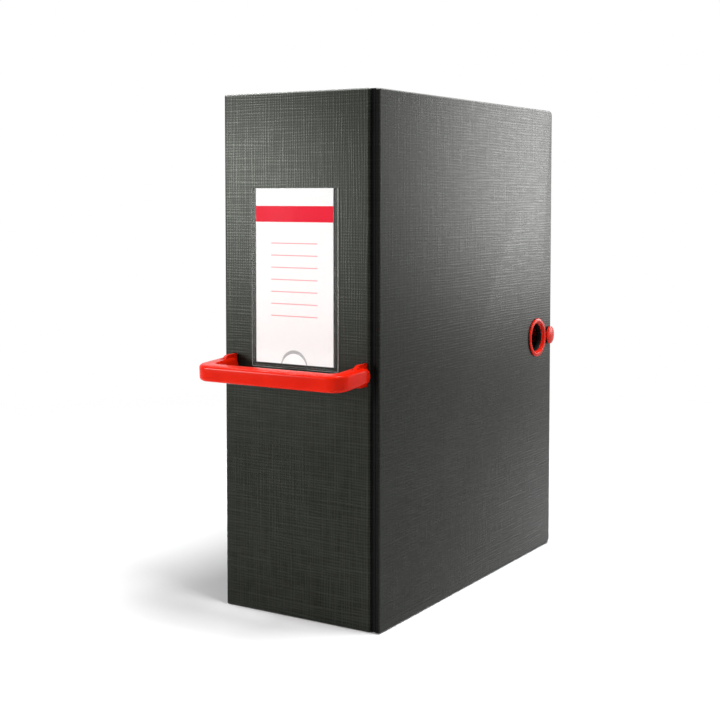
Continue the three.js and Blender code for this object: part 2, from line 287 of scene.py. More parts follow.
cover_low, cover_high = corners("cover")
tray_low, tray_high = corners("tray")
lid_low, lid_high = corners("lid_board")
strip_low, strip_high = corners("hinge_strip")
ring_low, ring_high = corners("finger_ring")
cap_low, cap_high = corners("snap_cap")
pocket_low, pocket_high = corners("label_pocket")
card_low, card_high = corners("label_card")
ring_centre = (ring_low + ring_high) / 2
cap_centre = (cap_low + cap_high) / 2
pin_places = {joint["name"]: Vector(joint["pos_m"]) / MM for joint in frame["joints"]}
pivot = pin_places["handle_pivot"]
print("case", [round(v, 2) for v in cover_high - cover_low], "lid", [round(v, 2) for v in lid_high - lid_low])

# %% [markdown]
# ## The covering: black paper embossed like linen
#
# The paper is printed black and pressed with the pattern of a coarse cloth. Its threads run both ways, are
# uneven in thickness and break off after a centimetre or two. Each direction that threads are counted in has
# a wave of even pitch whose phase wanders a little. A stretched noise makes some threads thicker than others,
# and a fine grain breaks them up. A picture of cloth would be quicker, but maths on object coordinates needs
# no file, stays sharp close up and fits every face. The group puts out only a height and a mask. Each
# material keeps its own shader, and the mask makes the raised threads paler and a little shinier.


# %% Helpers for node groups
def new_group(name, inputs, outputs):
    """Starts a shader node group with named number inputs and outputs."""
    group = bpy.data.node_groups.new(name, "ShaderNodeTree")
    for title, kind, value in inputs:
        socket = group.interface.new_socket(title, in_out="INPUT", socket_type=kind)
        socket.default_value = value
    for title, kind in outputs:
        group.interface.new_socket(title, in_out="OUTPUT", socket_type=kind)
    return group, group.nodes.new("NodeGroupInput"), group.nodes.new("NodeGroupOutput")


def maths(tree, operation, first, second=0.0, clamp=False):
    """Adds a maths node and returns its result."""
    node = tree.nodes.new("ShaderNodeMath")
    node.operation = operation
    node.use_clamp = clamp
    for socket, value in zip(node.inputs, (first, second)):
        if isinstance(value, (int, float)):
            socket.default_value = value
        else:
            tree.links.new(value, socket)
    return node.outputs[0]


def stretched_noise(tree, stretch, scale, detail=2.0):
    """Noise on Object coordinates that is stretched by a factor for each direction."""
    place = tree.nodes.new("ShaderNodeTexCoord")
    mapping = tree.nodes.new("ShaderNodeMapping")
    mapping.inputs["Scale"].default_value = stretch
    noise = tree.nodes.new("ShaderNodeTexNoise")
    noise.inputs["Scale"].default_value = scale
    noise.inputs["Detail"].default_value = detail
    tree.links.new(place.outputs["Object"], mapping.inputs["Vector"])
    tree.links.new(mapping.outputs["Vector"], noise.inputs["Vector"])
    return noise.outputs["Fac"]


# %% Linen emboss group
THREAD_PITCH = 1.95
THREAD_STRETCH = 0.075
SLUBS_PER_METRE, SLUB_START, SLUB_GAIN = 620, 0.34, 2.6
SLUB_SHARE, EVEN_SHARE = 0.75, 0.22
WANDERS_PER_METRE, WANDER_PHASE = 90, 11
GRAIN_PER_METRE, GRAIN_GAIN, GRAIN_FLOOR = 1500, 1.1, 0.4
HEIGHT_GAIN = 0.6


def threads(tree, places, facing, axis):
    """Height of the threads that are counted along one axis, on the faces that lie along that axis."""
    stretch = [THREAD_STRETCH] * 3
    stretch[axis] = 1.0
    slub = stretched_noise(tree, stretch, SLUBS_PER_METRE)
    noise = stretched_noise(tree, [value * 2 for value in stretch], WANDERS_PER_METRE, 1)
    wander = maths(tree, "MULTIPLY", noise, WANDER_PHASE)
    turns = maths(tree, "MULTIPLY", places.outputs[axis], math.tau / (THREAD_PITCH * MM))
    wave = maths(tree, "SINE", maths(tree, "ADD", turns, wander))
    band = maths(tree, "ADD", maths(tree, "MULTIPLY", wave, 0.5), 0.5)
    shown = maths(tree, "SUBTRACT", 1.0, maths(tree, "ABSOLUTE", facing.outputs[axis]), clamp=True)
    strength = maths(tree, "MULTIPLY", maths(tree, "SUBTRACT", slub, SLUB_START), SLUB_GAIN, clamp=True)
    strength = maths(tree, "ADD", maths(tree, "MULTIPLY", strength, SLUB_SHARE), EVEN_SHARE)
    return maths(tree, "MULTIPLY", maths(tree, "MULTIPLY", band, shown), strength)


linen, linen_in, linen_out = new_group(
    "linen_emboss", [("Contrast", "NodeSocketFloat", 1.0)],
    [("Height", "NodeSocketFloat"), ("Mask", "NodeSocketFloat")])
place = linen.nodes.new("ShaderNodeTexCoord")
facing = linen.nodes.new("ShaderNodeSeparateXYZ")
places = linen.nodes.new("ShaderNodeSeparateXYZ")
linen.links.new(place.outputs["Normal"], facing.inputs[0])
linen.links.new(place.outputs["Object"], places.inputs[0])
grain = maths(linen, "MULTIPLY", stretched_noise(linen, (1, 1, 1), GRAIN_PER_METRE), GRAIN_GAIN)
height = threads(linen, places, facing, 0)
for axis in (1, 2):
    height = maths(linen, "ADD", height, threads(linen, places, facing, axis))
rough_height = maths(linen, "MULTIPLY", height, maths(linen, "ADD", grain, GRAIN_FLOOR))
linen.links.new(maths(linen, "MULTIPLY", rough_height, HEIGHT_GAIN, clamp=True), linen_out.inputs["Height"])
linen.links.new(maths(linen, "MULTIPLY", rough_height, linen_in.outputs["Contrast"], clamp=True),
                linen_out.inputs["Mask"])
print("linen group of", len(linen.nodes), "nodes, threads", THREAD_PITCH, "mm apart")


# %% [markdown]
# ## Materials
#
# Each finish is one Principled shader. Values that are the same all over sit on its own sockets, and only
# what changes over the surface comes in through nodes. The paper is nearly black with a soft, greenish
# shine, the plastic is a bright warm red, and the film is hardly seen except at its edges.


# %% Helpers for one material
def material(name, roughness, **settings):
    """Starts a material with one Principled shader and plain values on its sockets."""
    made = bpy.data.materials.new(name)
    made.use_nodes = True
    shader = made.node_tree.nodes["Principled BSDF"]
    shader.inputs["Roughness"].default_value = roughness
    for title, value in settings.items():
        shader.inputs[title.replace("_", " ")].default_value = value
    return made, made.node_tree, shader


def ramp(tree, factor, stops):
    """Adds a colour ramp and returns its colour."""
    node = tree.nodes.new("ShaderNodeValToRGB")
    node.color_ramp.elements[0].position, node.color_ramp.elements[0].color = stops[0]
    node.color_ramp.elements[1].position, node.color_ramp.elements[1].color = stops[-1]
    for position, colour in stops[1:-1]:
        node.color_ramp.elements.new(position).color = colour
    tree.links.new(factor, node.inputs["Fac"])
    return node.outputs["Color"]


def bump(tree, shader, height, distance_mm, strength=1.0):
    """Feeds a height in millimetres into the shader's normal."""
    node = tree.nodes.new("ShaderNodeBump")
    node.inputs["Distance"].default_value = distance_mm * MM
    node.inputs["Strength"].default_value = strength
    tree.links.new(height, node.inputs["Height"])
    tree.links.new(node.outputs["Normal"], shader.inputs["Normal"])


# %% Black linen paper
PAPER_TINT = (0.93, 1.0, 0.88, 1)


def linen_paper(name, dark, pale, depth_mm, roughness, gloss, polish=0.04):
    """Paper that is printed and embossed like linen, with its raised threads polished a little smoother."""
    made, tree, shader = material(name, roughness, Specular_IOR_Level=gloss, Specular_Tint=PAPER_TINT)
    emboss = tree.nodes.new("ShaderNodeGroup")
    emboss.node_tree = linen
    emboss.inputs["Contrast"].default_value = 1.0
    mask = emboss.outputs["Mask"]
    tree.links.new(ramp(tree, mask, [(0.0, dark), (1.0, pale)]), shader.inputs["Base Color"])
    worn = maths(tree, "SUBTRACT", roughness, maths(tree, "MULTIPLY", mask, polish))
    tree.links.new(worn, shader.inputs["Roughness"])
    bump(tree, shader, emboss.outputs["Height"], depth_mm)
    return made


covering = linen_paper("black_linen_paper", (0.004, 0.0045, 0.003, 1), (0.0255, 0.0275, 0.0225, 1),
                       depth_mm=0.058, roughness=0.375, gloss=0.108, polish=0.14)
lining = linen_paper("black_lining_paper", (0.018, 0.018, 0.017, 1), (0.026, 0.027, 0.025, 1),
                     depth_mm=0.02, roughness=0.75, gloss=0.1)
# Paler paper for the rounded folds along the top: a painted highlight where the folds catch light from above.
fold_highlight_paper = linen_paper("painted_highlight_fold_paper", (0.15, 0.152, 0.145, 1), (0.19, 0.192, 0.185, 1),
                         depth_mm=0.005, roughness=0.35, gloss=0.6)
# Nearly black paper for the groove and for the edge of the lid beside it: painted shade for the dark groove.
groove_shade_paper = linen_paper("painted_shade_groove_paper", (0.006, 0.006, 0.006, 1), (0.010, 0.010, 0.010, 1),
                           depth_mm=0.01, roughness=0.7, gloss=0.02)
print("papers:", covering.name, lining.name, fold_highlight_paper.name, groove_shade_paper.name)

# %% Red plastic
FLOW_PER_METRE = 45
PIMPLES_PER_METRE, PIMPLE_HEIGHT, PIMPLE_STRENGTH = 1400, 0.01, 0.4
SPOTS_PER_METRE = 200

red_plastic, tree, shader = material("red_moulded_plastic", 0.22, Specular_IOR_Level=0.08)
flow = stretched_noise(tree, (1, 1, 1), FLOW_PER_METRE, 3)
tree.links.new(ramp(tree, flow, [(0.3, (0.60, 0.009, 0.001, 1)), (0.7, (0.66, 0.012, 0.001, 1))]),
               shader.inputs["Base Color"])
bump(tree, shader, stretched_noise(tree, (1, 1, 1), PIMPLES_PER_METRE), PIMPLE_HEIGHT, PIMPLE_STRENGTH)

# Near black for the deep part of the ring's sleeve: painted shade for the dark inside of the hole.
bore_painted_shade, tree, shader = material("painted_shade_inside_sleeve", 0.6, Specular_IOR_Level=0.1)
spots = stretched_noise(tree, (1, 1, 1), SPOTS_PER_METRE)
tree.links.new(ramp(tree, spots, [(0.3, (0.004, 0.004, 0.004, 1)), (0.7, (0.008, 0.007, 0.006, 1))]),
               shader.inputs["Base Color"])
print("plastics:", red_plastic.name, bore_painted_shade.name)

# %% Clear film
SLANT_BLEND = 0.3
RIPPLES_PER_METRE, RIPPLE_HEIGHT, RIPPLE_STRENGTH = 90, 0.1, 0.4


def clear_sheet(name, facing_alpha, edge_alpha, roughness, tone=0.92):
    """Film that is almost unseen where it faces the eye and whiter where it is seen along its surface."""
    made, tree, shader = material(name, roughness, Specular_IOR_Level=0.5)
    shader.inputs["Base Color"].default_value = (tone, tone, tone, 1)
    # Painted reflection: the film's own colour shows more where it is seen at a slant, for the light it
    # reflects there.
    slant = tree.nodes.new("ShaderNodeLayerWeight")
    slant.inputs["Blend"].default_value = SLANT_BLEND
    seen = maths(tree, "MULTIPLY", slant.outputs["Facing"], edge_alpha - facing_alpha)
    tree.links.new(maths(tree, "ADD", seen, facing_alpha), shader.inputs["Alpha"])
    ripples = stretched_noise(tree, (1, 1, 0.4), RIPPLES_PER_METRE, 1)
    bump(tree, shader, ripples, RIPPLE_HEIGHT, RIPPLE_STRENGTH)
    made.surface_render_method = "BLENDED"
    return made


film = clear_sheet("clear_soft_film", facing_alpha=0.008, edge_alpha=0.05, roughness=0.12, tone=0.3)
# The edges of the film are near white, a painted highlight for the light that they catch.
film_edge_highlight = clear_sheet("film_edge_highlight", facing_alpha=0.45, edge_alpha=0.8, roughness=0.25)
weld_mark = clear_sheet("weld_mark", facing_alpha=0.05, edge_alpha=0.2, roughness=0.2)
# Grey film for the notch: painted shadow of the film's edge on the card.
notch_shadow_film = clear_sheet("painted_shadow_notch_film", facing_alpha=0.26, edge_alpha=0.3, roughness=0.3, tone=0.35)
print("films:", film.name, film_edge_highlight.name, weld_mark.name, notch_shadow_film.name)

# %% White title card with its printed fields
PRINT_RED = (0.78, 0.006, 0.030, 1)
PALE_RULE = (0.86, 0.36, 0.38, 1)
BAND_TOP, BAND_HEIGHT = 279, 10.8
RULE_TOP, RULE_PITCH, RULE_COUNT, RULE_INSET, RULE_HALF = 254, 8.15, 7, 12.5, 0.33
FIBRES_PER_METRE = 300


def field_mask(tree, low, high):
    """Mask of a printed rectangle on the card, between two corners in X and Z in millimetres."""
    place = tree.nodes.new("ShaderNodeTexCoord")
    split = tree.nodes.new("ShaderNodeSeparateXYZ")
    tree.links.new(place.outputs["Object"], split.inputs[0])
    inside = [maths(tree, "GREATER_THAN", split.outputs["X"], low[0] * MM),
              maths(tree, "LESS_THAN", split.outputs["X"], high[0] * MM),
              maths(tree, "GREATER_THAN", split.outputs["Z"], low[1] * MM),
              maths(tree, "LESS_THAN", split.outputs["Z"], high[1] * MM)]
    both = maths(tree, "MULTIPLY", inside[0], inside[1])
    return maths(tree, "MULTIPLY", both, maths(tree, "MULTIPLY", inside[2], inside[3]))


def print_over(tree, under, mask, colour):
    """Lays one printed colour over another where a mask says."""
    mix = tree.nodes.new("ShaderNodeMix")
    mix.data_type = "RGBA"
    tree.links.new(mask, mix.inputs["Factor"])
    tree.links.new(under, mix.inputs["A"])
    mix.inputs["B"].default_value = colour
    return mix.outputs["Result"]


card_paper, tree, shader = material("white_title_card", 0.6, Specular_IOR_Level=0.08)
colour = ramp(tree, stretched_noise(tree, (1, 1, 1), FIBRES_PER_METRE, 3),
              [(0.3, (0.905, 0.905, 0.895, 1)), (0.7, (0.93, 0.93, 0.92, 1))])
band = field_mask(tree, (card_low.x, BAND_TOP - BAND_HEIGHT), (card_high.x, BAND_TOP))
colour = print_over(tree, colour, band, PRINT_RED)
for i in range(RULE_COUNT):
    rule_z = RULE_TOP - i * RULE_PITCH
    rule = field_mask(tree, (card_low.x + RULE_INSET, rule_z - RULE_HALF),
                      (card_high.x - RULE_INSET, rule_z + RULE_HALF))
    colour = print_over(tree, colour, rule, PALE_RULE)
tree.links.new(colour, shader.inputs["Base Color"])
print("title card prints", RULE_COUNT, "rules and a band")

# %% [markdown]
# ## The wrapped cover
#
# One sheet of covering wraps the back board and the spine board. Two blocks would show a seam at the fold,
# which the real sheet doesn't have, so both are one folded piece. A block for the back board is divided near
# the fold, and the strip beside the fold is extruded along the spine. The long
# edges get the soft radius that pasted paper gives to board, and the far edge of the spine falls away in a
# wider curve, towards the groove that the lid turns in. The rounded folds along the top are painted paler,
# a painted highlight for the light that they catch from above.

# %% Cover
SPINE_BOARD = 3.0
FIT = 0.3
EDGE_ROUND = 0.98
SPINE_END_ROUND = 2.0
FOLD_ROUND = 1.6
EAR_THICKNESS = 2.8
EAR_RADIUS = 7.6
EAR_INSET = 5.75
TRAY_WALL = 2.5
back_inside = cover_low.x + SPINE_BOARD
spine_inside = cover_low.y + SPINE_BOARD
handle_low, handle_high = corners("handle")
ear_places = (handle_low.x + EAR_INSET, handle_high.x - EAR_INSET)

cover = block("wrapped_cover", cover_low, (back_inside, cover_high.y, cover_high.z))
pick_faces(cover, every_face)
bpy.ops.mesh.bisect(plane_co=(0, spine_inside * MM, 0), plane_no=(0, 1, 0))
leave_edit()
pick_faces(cover, lambda middle, normal: normal.x > 0.9 and middle.y < spine_inside)
bpy.ops.mesh.extrude_region_move(
    TRANSFORM_OT_translate={"value": ((cover_high.x - back_inside) * MM, 0, 0)})
leave_edit()
round_edges(cover, upright_at(cover_high.x, cover_low.y), SPINE_END_ROUND, 10)
round_edges(cover, upright_at(cover_low.x, cover_low.y), FOLD_ROUND, 6)
soften(cover, EDGE_ROUND, 4, 60)


def ear_slot(ear_x):
    """Shape that cuts the slot round an ear."""
    half, reach = EAR_THICKNESS / 2 + FIT, EAR_RADIUS + FIT
    return block("ear_slot", (ear_x - half, cover_low.y - 1, pivot.z - reach),
                 (ear_x + half, tray_low.y + TRAY_WALL + 1, pivot.z + reach))


for ear_x in ear_places:
    cut(cover, ear_slot(ear_x))
finish_piece(cover, "root", "covered_board", covering, "cover")
# The rounded folds along the top get the paler paper, a painted highlight.
face_material(cover, on_fold, fold_highlight_paper)
face_material(cover, lambda middle, normal: (normal.x > 0.9 and middle.x < back_inside + NEAR)
              or (normal.y > 0.9 and abs(middle.y - spine_inside) < NEAR), lining)

# %% [markdown]
# ## The tray
#
# Papers stand in a tray of thinner board that is open towards the lid. Five loose boards could be put
# together, but one mesh keeps the corners closed: a block is inset on its open side and the inset face is
# pushed in almost to the back. The rim and the outer corners are softened, the two ears pass through slots,
# and a notch in the rim holds the socket of the snap.

# %% Tray
TRAY_CORNER = 1.2
TRAY_EDGE_ROUND = 0.3
LONG_EDGE = 100
NOTCH_HALF = 5.3
socket_low, socket_high = corners("snap_socket")

tray = block("paper_tray", tray_low, tray_high)
pick_faces(tray, lambda middle, normal: normal.x > 0.9)
bpy.ops.mesh.inset(thickness=TRAY_WALL * MM)
bpy.ops.mesh.extrude_region_move(
    TRANSFORM_OT_translate={"value": (-(tray_high.x - tray_low.x - TRAY_WALL) * MM, 0, 0)})
leave_edit()
round_edges(tray, lambda a, b: abs(a.x - b.x) > LONG_EDGE and (
    min(a.y, b.y) < tray_low.y + NEAR or max(a.y, b.y) > tray_high.y - NEAR), TRAY_CORNER, 5)
soften(tray, TRAY_EDGE_ROUND, 2, 60)
for ear_x in ear_places:
    cut(tray, ear_slot(ear_x))
cut(tray, block("notch", (socket_low.x - FIT, tray_high.y - TRAY_WALL - 1, ring_centre.z - NOTCH_HALF),
                (tray_high.x + 1, tray_high.y + 1, ring_centre.z + NOTCH_HALF)))
finish_piece(tray, "root", "inner_tray", covering, "tray")
tray_middle = (tray_low + tray_high) / 2
tray_reach = (tray_high - tray_low) / 2 - Vector((TRAY_WALL - NEAR,) * 3)
face_material(tray, lambda middle, normal: (middle.x > tray_low.x + TRAY_WALL - NEAR
              and abs(middle.y - tray_middle.y) < tray_reach.y
              and abs(middle.z - tray_middle.z) < tray_reach.z), lining)

# %% [markdown]
# ## The lid
#
# The lid is one board in the same covering. Its two corners at the fore edge are rounded, and all its edges
# are soft. Inside, the covering is turned in by a few millimetres and the rest is lined. The edge beside the
# groove is painted nearly black, a painted shade. The ring and the snap sit in round holes, which are cut
# last so that the rounding of the board leaves their rims sharp, as punched holes are.

# %% Lid
LID_CORNER = 4
LID_NEAR_ROUND = 1.3
LID_EDGE_ROUND = 0.8
TURN_IN = 3
LINING_HALF = 170
RING_HOLE = 12.0
SNAP_HOLE = 2.5

lid_cover = block("wrapped_lid", lid_low, lid_high)
round_edges(lid_cover, lambda a, b: min(a.y, b.y) > lid_high.y - NEAR and abs(a.x - b.x) > 1,
            LID_CORNER, 8)
round_edges(lid_cover, upright_at(lid_high.x, lid_low.y), LID_NEAR_ROUND, 6)
soften(lid_cover, LID_EDGE_ROUND, 4, 60)
pick_faces(lid_cover, lambda middle, normal: normal.x < -0.99 and middle.x < lid_low.x + NEAR)
bpy.ops.mesh.inset(thickness=TURN_IN * MM)
leave_edit()
for radius, centre in ((RING_HOLE, ring_centre), (SNAP_HOLE, cap_centre)):
    cut(lid_cover, rod("hole", radius, (lid_low.x - 2, centre.y, centre.z),
                       (lid_high.x + 2, centre.y, centre.z), 64))
finish_piece(lid_cover, "lid", "covered_board", covering, "lid_board")
face_material(lid_cover, lambda middle, normal: (normal.x < -0.99 and abs(middle.y) < lid_high.y - TURN_IN
              and abs(middle.z - ring_centre.z) < LINING_HALF), lining)
# The lid's edge that faces the groove gets painted shade.
face_material(lid_cover, lambda middle, normal: normal.y < -0.8, groove_shade_paper)
# The rounded folds along the top of the lid get the paler paper, a painted highlight.
face_material(lid_cover, on_fold, fold_highlight_paper)

# %% [markdown]
# ## The groove
#
# The covering runs from the spine to the lid through a groove, and bends there when the lid opens. It is a
# narrow sheet that dips between the two boards. A few cuts along it give it the points that its dip is
# shaped through.

# %% Groove
GROOVE_SHEET = 0.5
GROOVE_DIP = 1.1
GROOVE_CUTS = 11

groove = block("groove_cloth", strip_low, (strip_high.x, strip_low.y + GROOVE_SHEET, strip_high.z))
pick_edges(groove, lambda a, b: abs(a.x - b.x) > 1)
bpy.ops.mesh.subdivide(number_cuts=GROOVE_CUTS)
leave_edit()
groove_middle = (strip_low.x + strip_high.x) / 2
groove_half = (strip_high.x - strip_low.x) / 2
for vertex in groove.data.vertices:
    share = (vertex.co.x / MM - groove_middle) / groove_half
    vertex.co.y += GROOVE_DIP * (1 - share * share) * MM
# The groove sheet gets the painted shade paper.
finish_piece(groove, None, "covered_board", groove_shade_paper, "hinge_strip")
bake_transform(groove)

# %% [markdown]
# ## Label pocket and card
#
# Two clear films are welded together along three sides. The welds are rows of short bars that the tool left
# in the film, and an array modifier repeats one bar so that the row stays even. A round notch in the lower
# edge lets a thumb push the card out of the open top. The cut rim of the notch and a thin sheet just above it
# are grey, a painted shadow of the film's edge on the card, and the white card stands between the films.

# %% Pocket
FILM = 0.25
NOTCH_RADIUS = 10.2
POCKET_CORNER = 1
EDGE_BEAD = 0.45
pocket_middle = (pocket_low.x + pocket_high.x) / 2


def from_notch(middle):
    """Distance from the centre of the thumb notch, in millimetres."""
    return math.hypot(middle.x - pocket_middle, middle.z - pocket_low.z)


pocket = block("film_pocket", pocket_low, pocket_high)
round_edges(pocket, lambda a, b: abs(a.y - b.y) > 0.5 and max(a.z, b.z) < pocket_low.z + 0.1,
            POCKET_CORNER, 5)
round_edges(pocket, lambda a, b: max(a.y, b.y) < pocket_low.y + NEAR
            and min(a.z, b.z) < pocket_high.z - 0.5, EDGE_BEAD, 3)
cut(pocket, block("mouth", (card_low.x - FIT, pocket_low.y + FILM, card_low.z - FIT),
                  (card_high.x + FIT, pocket_high.y - FILM, pocket_high.z + 1)))
cut(pocket, rod("notch", NOTCH_RADIUS, (pocket_middle, pocket_low.y - 1, pocket_low.z),
                (pocket_middle, pocket_low.y + FILM + 0.05, pocket_low.z), 96))
finish_piece(pocket, "root", "clear_film", film, "label_pocket", smooth=30)
# The edges of the film get the painted highlight.
face_material(pocket, lambda middle, normal: abs(normal.y) < 0.95, film_edge_highlight)
# The cut faces of the notch are grey, a painted shadow.
face_material(pocket, lambda middle, normal: abs(normal.y) < 0.5 and NEAR < middle.z - pocket_low.z
              and from_notch(middle) < NOTCH_RADIUS + 0.1, notch_shadow_film)

# %% Welds and the painted shadow at the notch
WELD_PITCH = 1.5
WELD_INSET = 0.1
UPRIGHT_BAR, LEVEL_BAR = (1.1, 0.16, 0.55), (0.9, 0.16, 0.6)
NOTCH_SHADOW_WIDTH, NOTCH_SHADOW_RISE = 0.35, 1.9
weld_face = pocket_low.y - 0.001
side_seam = card_low.x - pocket_low.x
bars_up = int((pocket_high.z - pocket_low.z - 4) / WELD_PITCH)
bars_along = int((pocket_high.x - pocket_low.x - 4) / WELD_PITCH)


def weld_row(name, start, step, count, size):
    """Row of raised weld bars on the face of the film."""
    bar = block(name, Vector(start), Vector(start) + Vector(size))
    pick_faces(bar, lambda middle, normal: normal.y < -0.9)
    bpy.ops.mesh.inset(thickness=WELD_INSET * MM)
    leave_edit()
    apply_modifier(bar, "ARRAY", count=count, use_relative_offset=False, use_constant_offset=True,
                   constant_offset_displace=Vector(step) * MM)
    finish_piece(bar, "root", "clear_film", weld_mark)


for name, x in (("weld_left", pocket_low.x + side_seam * 0.35),
                ("weld_right", card_high.x + side_seam * 0.25)):
    weld_row(name, (x, weld_face, pocket_low.z + 3), (0, 0, WELD_PITCH), bars_up, UPRIGHT_BAR)
weld_row("weld_bottom", (pocket_low.x + 2, weld_face, pocket_low.z + 1), (WELD_PITCH, 0, 0), bars_along,
         LEVEL_BAR)
# A thin grey ring just above the notch is painted shadow, for the shadow that the film's edge casts on the
# card.
notch_shadow_sheet = rod("painted_notch_shadow", NOTCH_RADIUS + NOTCH_SHADOW_WIDTH, (pocket_middle, weld_face, pocket_low.z + NOTCH_SHADOW_RISE),
          (pocket_middle, weld_face + 0.1, pocket_low.z + NOTCH_SHADOW_RISE), 96)
cut(notch_shadow_sheet, rod("inside", NOTCH_RADIUS, (pocket_middle, weld_face - 1, pocket_low.z),
             (pocket_middle, weld_face + 1, pocket_low.z), 96),
    block("below", (pocket_low.x, weld_face - 1, pocket_low.z - 20),
          (pocket_high.x, weld_face + 1, card_low.z)))
finish_piece(notch_shadow_sheet, "root", "clear_film", notch_shadow_film)

# %% Card
card = block("title_card", card_low, card_high)
soften(card, 0.05, 1)
finish_piece(card, "root", "card", card_paper, "label_card")

# %% [markdown]
# ## The handle and its ears
#
# The handle is one thick red moulding, a bar with an arm at each end. Each arm ends in a fork that straddles
# an ear, and two stub pins on the ear let it swing. The arms are extruded from the bar, since joined pieces
# would leave a seam that the rounding can't cross. The edges that this leaves inside flat faces are dissolved
# before the rounding for the same reason. All is modelled level, which keeps the tests simple, and then let
# down by the few degrees that it hangs at.

# %% Handle
DROOP = math.radians(3.5)
HANDLE_REACH = 32.1
HANDLE_HALF = 5.5
BAR_DEPTH = 10.5
ARM_WIDTH = 11
PIN_RADIUS = 2.1
PIN_LENGTH = 2.4
HANDLE_OUTER_CORNER, HANDLE_INNER_CORNER = 11, 4
HANDLE_EDGE = 2.3

bar_front = pivot.y - HANDLE_REACH
bar_back = bar_front + BAR_DEPTH
arm_end = pivot.y + HANDLE_HALF
sides = ((-1, handle_low.x), (1, handle_high.x))
handle = block("carry_handle", (handle_low.x, bar_front, pivot.z - HANDLE_HALF),
               (handle_high.x, bar_back, pivot.z + HANDLE_HALF))
for sign, edge in sides:
    arm_side = edge - sign * ARM_WIDTH
    pick_faces(handle, every_face)
    bpy.ops.mesh.bisect(plane_co=(arm_side * MM, 0, 0), plane_no=(1, 0, 0))
    leave_edit()
    pick_faces(handle, lambda middle, normal: normal.y > 0.9 and sign * (middle.x - arm_side) > 0)
    bpy.ops.mesh.extrude_region_move(TRANSFORM_OT_translate={"value": (0, (arm_end - bar_back) * MM, 0)})
    leave_edit()
pick_faces(handle, every_face)
bpy.ops.mesh.dissolve_limited(angle_limit=math.radians(1))
leave_edit()
for sign, edge in sides:
    round_edges(handle, upright_at(edge, bar_front), HANDLE_OUTER_CORNER, 14)
    round_edges(handle, upright_at(edge - sign * ARM_WIDTH, bar_back), HANDLE_INNER_CORNER, 8)
round_edges(handle, lambda a, b: min(a.y, b.y) > arm_end - NEAR and abs(a.z - b.z) < NEAR,
            HANDLE_HALF - 0.02, 14)
soften(handle, HANDLE_EDGE, 6, 50, clamp=False)
for ear_x in ear_places:
    half, reach = EAR_THICKNESS / 2 + FIT, EAR_RADIUS + FIT
    cut(handle, block("fork", (ear_x - half, pivot.y - reach, pivot.z - 2 * HANDLE_HALF),
                      (ear_x + half, arm_end + 1, pivot.z + 2 * HANDLE_HALF)),
        rod("pin_hole", PIN_RADIUS + FIT, (ear_x - half - PIN_LENGTH, pivot.y, pivot.z),
            (ear_x + half + PIN_LENGTH, pivot.y, pivot.z), 32))
only(handle)
bpy.ops.object.mode_set(mode="EDIT")
bpy.ops.mesh.select_all(action="SELECT")
bpy.ops.transform.rotate(value=-DROOP, orient_axis="X", center_override=pivot * MM)
leave_edit()
handle_front, handle_foot = (min(v.co[axis] for v in handle.data.vertices) / MM for axis in (1, 2))
print("handle reaches", round(handle_front, 2), "of", round(handle_low.y, 2),
      "and", round(handle_foot, 2), "of", round(handle_low.z, 2))
finish_piece(handle, "handle", "red_plastic", red_plastic, "handle")

# %% Ears
FLANGE_THICKNESS, FLANGE_CORNER = 2, 2.6
EAR_EDGE_ROUND = 0.25

for side, ear_x in zip(("left", "right"), ear_places):
    anchor_low, anchor_high = corners("handle_anchor_" + side)
    ear = block("ear_" + side, (ear_x - EAR_THICKNESS / 2, pivot.y - EAR_RADIUS, pivot.z - EAR_RADIUS),
                (ear_x + EAR_THICKNESS / 2, anchor_high.y - FLANGE_THICKNESS / 2, pivot.z + EAR_RADIUS))
    round_edges(ear, lambda a, b: max(a.y, b.y) < pivot.y - EAR_RADIUS + NEAR and abs(a.x - b.x) > 1,
                EAR_RADIUS - 0.02, 20)
    flange = block("flange", (anchor_low.x, anchor_high.y - FLANGE_THICKNESS, anchor_low.z), anchor_high)
    round_edges(flange, lambda a, b: abs(a.y - b.y) > 1, FLANGE_CORNER, 6)
    reach = EAR_THICKNESS / 2 + PIN_LENGTH
    pins = rod("pins", PIN_RADIUS, (ear_x - reach, pivot.y, pivot.z), (ear_x + reach, pivot.y, pivot.z), 32)
    for extra in (flange, pins):
        apply_modifier(ear, "BOOLEAN", operation="UNION", solver="EXACT", object=extra)
        bpy.data.objects.remove(extra)
    soften(ear, EAR_EDGE_ROUND, 2, 50)
    finish_piece(ear, "root", "red_plastic", red_plastic, "handle_anchor_" + side)

# %% [markdown]
# ## Finger ring and snap
#
# The ring is an eyelet. Its flange lies on the lid, a funnel leads into the hole, and a washer is pressed on
# from behind. The button of the snap has a nearly flat dome, and its ball tip clicks into a clip on the rim
# of the tray. All of them but the clip are profiles that are spun round, as on a lathe, which gives true
# rounds from few points. Each point of a profile is a radius and a place along X, counted outwards from the
# face of the lid.

# %% Ring
SLEEVE_RADIUS, SLEEVE_END = 11.7, -4.8
BORE_RADIUS = 10.5
SLEEVE_DARK, DARK_WITHIN = -0.9, 11.2
lid_face = lid_high.x
at_ring = (lid_face, ring_centre.y, ring_centre.z)

ring = turned("finger_eyelet", [
    (SLEEVE_RADIUS, SLEEVE_END), (SLEEVE_RADIUS, FIT), (15.0, FIT), *arc((14.7, 0.62), 0.6, -32, 72),
    *arc((13.0, 0.55), 0.75, 90, 165), (11.75, 0.15), (11.3, -0.35), (10.95, SLEEVE_DARK),
    (10.65, -1.6), (BORE_RADIUS, -2.5), (BORE_RADIUS, -4.6), (10.7, SLEEVE_END),
    (SLEEVE_RADIUS, SLEEVE_END)], at_ring, 128)
finish_piece(ring, "lid", "red_plastic", red_plastic, "finger_ring")
